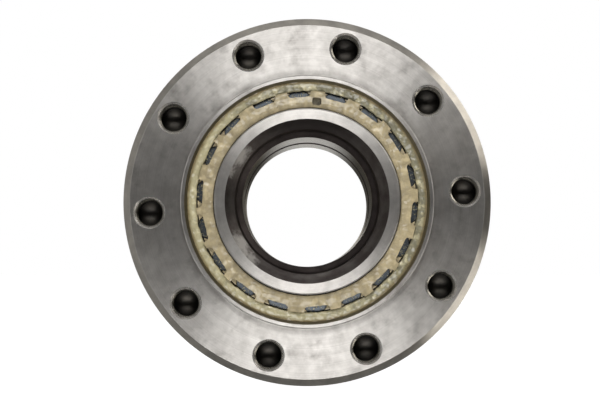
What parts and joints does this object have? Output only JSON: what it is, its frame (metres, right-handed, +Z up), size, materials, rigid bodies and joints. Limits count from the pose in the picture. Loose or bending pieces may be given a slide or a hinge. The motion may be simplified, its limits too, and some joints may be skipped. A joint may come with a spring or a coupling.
{
  "type": "wheel hub bearing",
  "caption": "Flanged hub bearing unit: a turning outer ring with a bolted flange on two rows of caged tapered rollers and a bored pair of inner rings.",
  "frame": {"origin": "on the bearing axis, where the two inner rings meet", "axes": "+Y along the bearing axis, from the flanged outboard side to the vehicle side; +Z up"},
  "size_m": [0.233, 0.13, 0.233],
  "materials": {
    "turned_steel": "turned and lightly oiled",
    "ground_steel": "ground and hardened",
    "roller_steel": "superfinished",
    "sheet_steel": "pressed sheet",
    "spring_steel": "drawn wire",
    "tone_steel": "phosphated",
    "cage_plastic": "moulded",
    "seal_rubber": "moulded"
  },
  "bodies": {
    "inner_ring_set": {"outboard_inner_ring": "ground_steel", "inboard_inner_ring": "ground_steel", "clamp_ring": "sheet_steel", "seal_flinger": "sheet_steel"},
    "outer_ring": {"flanged_outer_ring": "turned_steel", "seal_case": "sheet_steel", "seal_lip": "seal_rubber", "seal_spring": "spring_steel", "tone_ring": "tone_steel"},
    "outboard_cage": {"outboard_cage": "cage_plastic"},
    "inboard_cage": {"inboard_cage": "cage_plastic"},
    "outboard_roller_01": {"outboard_roller_01": "roller_steel"},
    "outboard_roller_02": {"outboard_roller_02": "roller_steel"},
    "outboard_roller_03": {"outboard_roller_03": "roller_steel"},
    "outboard_roller_04": {"outboard_roller_04": "roller_steel"},
    "outboard_roller_05": {"outboard_roller_05": "roller_steel"},
    "outboard_roller_06": {"outboard_roller_06": "roller_steel"},
    "outboard_roller_07": {"outboard_roller_07": "roller_steel"},
    "outboard_roller_08": {"outboard_roller_08": "roller_steel"},
    "outboard_roller_09": {"outboard_roller_09": "roller_steel"},
    "outboard_roller_10": {"outboard_roller_10": "roller_steel"},
    "outboard_roller_11": {"outboard_roller_11": "roller_steel"},
    "outboard_roller_12": {"outboard_roller_12": "roller_steel"},
    "outboard_roller_13": {"outboard_roller_13": "roller_steel"},
    "outboard_roller_14": {"outboard_roller_14": "roller_steel"},
    "outboard_roller_15": {"outboard_roller_15": "roller_steel"},
    "outboard_roller_16": {"outboard_roller_16": "roller_steel"},
    "outboard_roller_17": {"outboard_roller_17": "roller_steel"},
    "outboard_roller_18": {"outboard_roller_18": "roller_steel"},
    "inboard_roller_01": {"inboard_roller_01": "roller_steel"},
    "inboard_roller_02": {"inboard_roller_02": "roller_steel"},
    "inboard_roller_03": {"inboard_roller_03": "roller_steel"},
    "inboard_roller_04": {"inboard_roller_04": "roller_steel"},
    "inboard_roller_05": {"inboard_roller_05": "roller_steel"},
    "inboard_roller_06": {"inboard_roller_06": "roller_steel"},
    "inboard_roller_07": {"inboard_roller_07": "roller_steel"},
    "inboard_roller_08": {"inboard_roller_08": "roller_steel"},
    "inboard_roller_09": {"inboard_roller_09": "roller_steel"},
    "inboard_roller_10": {"inboard_roller_10": "roller_steel"},
    "inboard_roller_11": {"inboard_roller_11": "roller_steel"},
    "inboard_roller_12": {"inboard_roller_12": "roller_steel"},
    "inboard_roller_13": {"inboard_roller_13": "roller_steel"},
    "inboard_roller_14": {"inboard_roller_14": "roller_steel"},
    "inboard_roller_15": {"inboard_roller_15": "roller_steel"},
    "inboard_roller_16": {"inboard_roller_16": "roller_steel"},
    "inboard_roller_17": {"inboard_roller_17": "roller_steel"},
    "inboard_roller_18": {"inboard_roller_18": "roller_steel"}
  },
  "joints": [
    {"name": "wheel_spin", "type": "hinge", "parent": "inner_ring_set", "child": "outer_ring", "pos_m": [0, 0, 0], "axis": [0, 1, 0], "continuous": true},
    {"name": "outboard_cage_spin", "type": "hinge", "parent": "inner_ring_set", "child": "outboard_cage", "pos_m": [0, 0, 0], "axis": [0, 1, 0], "continuous": true},
    {"name": "inboard_cage_spin", "type": "hinge", "parent": "inner_ring_set", "child": "inboard_cage", "pos_m": [0, 0, 0], "axis": [0, 1, 0], "continuous": true},
    {"name": "outboard_roller_01_spin", "type": "hinge", "parent": "outboard_cage", "child": "outboard_roller_01", "pos_m": [0.061, -0.0655, 0.01578], "axis": [-0.2506, 0.9659, -0.0648], "continuous": true},
    {"name": "outboard_roller_02_spin", "type": "hinge", "parent": "outboard_cage", "child": "outboard_roller_02", "pos_m": [0.05193, -0.0655, 0.03569], "axis": [-0.2133, 0.9659, -0.1466], "continuous": true},
    {"name": "outboard_roller_03_spin", "type": "hinge", "parent": "outboard_cage", "child": "outboard_roller_03", "pos_m": [0.03659, -0.0655, 0.0513], "axis": [-0.1503, 0.9659, -0.2107], "continuous": true},
    {"name": "outboard_roller_04_spin", "type": "hinge", "parent": "outboard_cage", "child": "outboard_roller_04", "pos_m": [0.01684, -0.0655, 0.06072], "axis": [-0.0692, 0.9659, -0.2494], "continuous": true},
    {"name": "outboard_roller_05_spin", "type": "hinge", "parent": "outboard_cage", "child": "outboard_roller_05", "pos_m": [-0.00494, -0.0655, 0.06282], "axis": [0.0203, 0.9659, -0.258], "continuous": true},
    {"name": "outboard_roller_06_spin", "type": "hinge", "parent": "outboard_cage", "child": "outboard_roller_06", "pos_m": [-0.02613, -0.0655, 0.05734], "axis": [0.1073, 0.9659, -0.2355], "continuous": true},
    {"name": "outboard_roller_07_spin", "type": "hinge", "parent": "outboard_cage", "child": "outboard_roller_07", "pos_m": [-0.04416, -0.0655, 0.04494], "axis": [0.1814, 0.9659, -0.1846], "continuous": true},
    {"name": "outboard_roller_08_spin", "type": "hinge", "parent": "outboard_cage", "child": "outboard_roller_08", "pos_m": [-0.05687, -0.0655, 0.02713], "axis": [0.2336, 0.9659, -0.1114], "continuous": true},
    {"name": "outboard_roller_09_spin", "type": "hinge", "parent": "outboard_cage", "child": "outboard_roller_09", "pos_m": [-0.06272, -0.0655, 0.00604], "axis": [0.2576, 0.9659, -0.0248], "continuous": true},
    {"name": "outboard_roller_10_spin", "type": "hinge", "parent": "outboard_cage", "child": "outboard_roller_10", "pos_m": [-0.061, -0.0655, -0.01578], "axis": [0.2506, 0.9659, 0.0648], "continuous": true},
    {"name": "outboard_roller_11_spin", "type": "hinge", "parent": "outboard_cage", "child": "outboard_roller_11", "pos_m": [-0.05193, -0.0655, -0.03569], "axis": [0.2133, 0.9659, 0.1466], "continuous": true},
    {"name": "outboard_roller_12_spin", "type": "hinge", "parent": "outboard_cage", "child": "outboard_roller_12", "pos_m": [-0.03659, -0.0655, -0.0513], "axis": [0.1503, 0.9659, 0.2107], "continuous": true},
    {"name": "outboard_roller_13_spin", "type": "hinge", "parent": "outboard_cage", "child": "outboard_roller_13", "pos_m": [-0.01684, -0.0655, -0.06072], "axis": [0.0692, 0.9659, 0.2494], "continuous": true},
    {"name": "outboard_roller_14_spin", "type": "hinge", "parent": "outboard_cage", "child": "outboard_roller_14", "pos_m": [0.00494, -0.0655, -0.06282], "axis": [-0.0203, 0.9659, 0.258], "continuous": true},
    {"name": "outboard_roller_15_spin", "type": "hinge", "parent": "outboard_cage", "child": "outboard_roller_15", "pos_m": [0.02613, -0.0655, -0.05734], "axis": [-0.1073, 0.9659, 0.2355], "continuous": true},
    {"name": "outboard_roller_16_spin", "type": "hinge", "parent": "outboard_cage", "child": "outboard_roller_16", "pos_m": [0.04416, -0.0655, -0.04494], "axis": [-0.1814, 0.9659, 0.1846], "continuous": true},
    {"name": "outboard_roller_17_spin", "type": "hinge", "parent": "outboard_cage", "child": "outboard_roller_17", "pos_m": [0.05687, -0.0655, -0.02713], "axis": [-0.2336, 0.9659, 0.1114], "continuous": true},
    {"name": "outboard_roller_18_spin", "type": "hinge", "parent": "outboard_cage", "child": "outboard_roller_18", "pos_m": [0.06272, -0.0655, -0.00604], "axis": [-0.2576, 0.9659, 0.0248], "continuous": true},
    {"name": "inboard_roller_01_spin", "type": "hinge", "parent": "inboard_cage", "child": "inboard_roller_01", "pos_m": [0.061, 0.033, 0.01578], "axis": [0.2506, 0.9659, 0.0648], "continuous": true},
    {"name": "inboard_roller_02_spin", "type": "hinge", "parent": "inboard_cage", "child": "inboard_roller_02", "pos_m": [0.05193, 0.033, 0.03569], "axis": [0.2133, 0.9659, 0.1466], "continuous": true},
    {"name": "inboard_roller_03_spin", "type": "hinge", "parent": "inboard_cage", "child": "inboard_roller_03", "pos_m": [0.03659, 0.033, 0.0513], "axis": [0.1503, 0.9659, 0.2107], "continuous": true},
    {"name": "inboard_roller_04_spin", "type": "hinge", "parent": "inboard_cage", "child": "inboard_roller_04", "pos_m": [0.01684, 0.033, 0.06072], "axis": [0.0692, 0.9659, 0.2494], "continuous": true},
    {"name": "inboard_roller_05_spin", "type": "hinge", "parent": "inboard_cage", "child": "inboard_roller_05", "pos_m": [-0.00494, 0.033, 0.06282], "axis": [-0.0203, 0.9659, 0.258], "continuous": true},
    {"name": "inboard_roller_06_spin", "type": "hinge", "parent": "inboard_cage", "child": "inboard_roller_06", "pos_m": [-0.02613, 0.033, 0.05734], "axis": [-0.1073, 0.9659, 0.2355], "continuous": true},
    {"name": "inboard_roller_07_spin", "type": "hinge", "parent": "inboard_cage", "child": "inboard_roller_07", "pos_m": [-0.04416, 0.033, 0.04494], "axis": [-0.1814, 0.9659, 0.1846], "continuous": true},
    {"name": "inboard_roller_08_spin", "type": "hinge", "parent": "inboard_cage", "child": "inboard_roller_08", "pos_m": [-0.05687, 0.033, 0.02713], "axis": [-0.2336, 0.9659, 0.1114], "continuous": true},
    {"name": "inboard_roller_09_spin", "type": "hinge", "parent": "inboard_cage", "child": "inboard_roller_09", "pos_m": [-0.06272, 0.033, 0.00604], "axis": [-0.2576, 0.9659, 0.0248], "continuous": true},
    {"name": "inboard_roller_10_spin", "type": "hinge", "parent": "inboard_cage", "child": "inboard_roller_10", "pos_m": [-0.061, 0.033, -0.01578], "axis": [-0.2506, 0.9659, -0.0648], "continuous": true},
    {"name": "inboard_roller_11_spin", "type": "hinge", "parent": "inboard_cage", "child": "inboard_roller_11", "pos_m": [-0.05193, 0.033, -0.03569], "axis": [-0.2133, 0.9659, -0.1466], "continuous": true},
    {"name": "inboard_roller_12_spin", "type": "hinge", "parent": "inboard_cage", "child": "inboard_roller_12", "pos_m": [-0.03659, 0.033, -0.0513], "axis": [-0.1503, 0.9659, -0.2107], "continuous": true},
    {"name": "inboard_roller_13_spin", "type": "hinge", "parent": "inboard_cage", "child": "inboard_roller_13", "pos_m": [-0.01684, 0.033, -0.06072], "axis": [-0.0692, 0.9659, -0.2494], "continuous": true},
    {"name": "inboard_roller_14_spin", "type": "hinge", "parent": "inboard_cage", "child": "inboard_roller_14", "pos_m": [0.00494, 0.033, -0.06282], "axis": [0.0203, 0.9659, -0.258], "continuous": true},
    {"name": "inboard_roller_15_spin", "type": "hinge", "parent": "inboard_cage", "child": "inboard_roller_15", "pos_m": [0.02613, 0.033, -0.05734], "axis": [0.1073, 0.9659, -0.2355], "continuous": true},
    {"name": "inboard_roller_16_spin", "type": "hinge", "parent": "inboard_cage", "child": "inboard_roller_16", "pos_m": [0.04416, 0.033, -0.04494], "axis": [0.1814, 0.9659, -0.1846], "continuous": true},
    {"name": "inboard_roller_17_spin", "type": "hinge", "parent": "inboard_cage", "child": "inboard_roller_17", "pos_m": [0.05687, 0.033, -0.02713], "axis": [0.2336, 0.9659, -0.1114], "continuous": true},
    {"name": "inboard_roller_18_spin", "type": "hinge", "parent": "inboard_cage", "child": "inboard_roller_18", "pos_m": [0.06272, 0.033, -0.00604], "axis": [0.2576, 0.9659, -0.0248], "continuous": true}
  ],
  "couplings": [
    {"joint": "outboard_cage_spin", "follows": "wheel_spin", "ratio": 0.56515},
    {"joint": "inboard_cage_spin", "follows": "wheel_spin", "ratio": 0.56515},
    {"joint": "outboard_roller_01_spin", "follows": "wheel_spin", "ratio": 3.6436},
    {"joint": "outboard_roller_02_spin", "follows": "wheel_spin", "ratio": 3.6436},
    {"joint": "outboard_roller_03_spin", "follows": "wheel_spin", "ratio": 3.6436},
    {"joint": "outboard_roller_04_spin", "follows": "wheel_spin", "ratio": 3.6436},
    {"joint": "outboard_roller_05_spin", "follows": "wheel_spin", "ratio": 3.6436},
    {"joint": "outboard_roller_06_spin", "follows": "wheel_spin", "ratio": 3.6436},
    {"joint": "outboard_roller_07_spin", "follows": "wheel_spin", "ratio": 3.6436},
    {"joint": "outboard_roller_08_spin", "follows": "wheel_spin", "ratio": 3.6436},
    {"joint": "outboard_roller_09_spin", "follows": "wheel_spin", "ratio": 3.6436},
    {"joint": "outboard_roller_10_spin", "follows": "wheel_spin", "ratio": 3.6436},
    {"joint": "outboard_roller_11_spin", "follows": "wheel_spin", "ratio": 3.6436},
    {"joint": "outboard_roller_12_spin", "follows": "wheel_spin", "ratio": 3.6436},
    {"joint": "outboard_roller_13_spin", "follows": "wheel_spin", "ratio": 3.6436},
    {"joint": "outboard_roller_14_spin", "follows": "wheel_spin", "ratio": 3.6436},
    {"joint": "outboard_roller_15_spin", "follows": "wheel_spin", "ratio": 3.6436},
    {"joint": "outboard_roller_16_spin", "follows": "wheel_spin", "ratio": 3.6436},
    {"joint": "outboard_roller_17_spin", "follows": "wheel_spin", "ratio": 3.6436},
    {"joint": "outboard_roller_18_spin", "follows": "wheel_spin", "ratio": 3.6436},
    {"joint": "inboard_roller_01_spin", "follows": "wheel_spin", "ratio": 3.6436},
    {"joint": "inboard_roller_02_spin", "follows": "wheel_spin", "ratio": 3.6436},
    {"joint": "inboard_roller_03_spin", "follows": "wheel_spin", "ratio": 3.6436},
    {"joint": "inboard_roller_04_spin", "follows": "wheel_spin", "ratio": 3.6436},
    {"joint": "inboard_roller_05_spin", "follows": "wheel_spin", "ratio": 3.6436},
    {"joint": "inboard_roller_06_spin", "follows": "wheel_spin", "ratio": 3.6436},
    {"joint": "inboard_roller_07_spin", "follows": "wheel_spin", "ratio": 3.6436},
    {"joint": "inboard_roller_08_spin", "follows": "wheel_spin", "ratio": 3.6436},
    {"joint": "inboard_roller_09_spin", "follows": "wheel_spin", "ratio": 3.6436},
    {"joint": "inboard_roller_10_spin", "follows": "wheel_spin", "ratio": 3.6436},
    {"joint": "inboard_roller_11_spin", "follows": "wheel_spin", "ratio": 3.6436},
    {"joint": "inboard_roller_12_spin", "follows": "wheel_spin", "ratio": 3.6436},
    {"joint": "inboard_roller_13_spin", "follows": "wheel_spin", "ratio": 3.6436},
    {"joint": "inboard_roller_14_spin", "follows": "wheel_spin", "ratio": 3.6436},
    {"joint": "inboard_roller_15_spin", "follows": "wheel_spin", "ratio": 3.6436},
    {"joint": "inboard_roller_16_spin", "follows": "wheel_spin", "ratio": 3.6436},
    {"joint": "inboard_roller_17_spin", "follows": "wheel_spin", "ratio": 3.6436},
    {"joint": "inboard_roller_18_spin", "follows": "wheel_spin", "ratio": 3.6436}
  ]
}
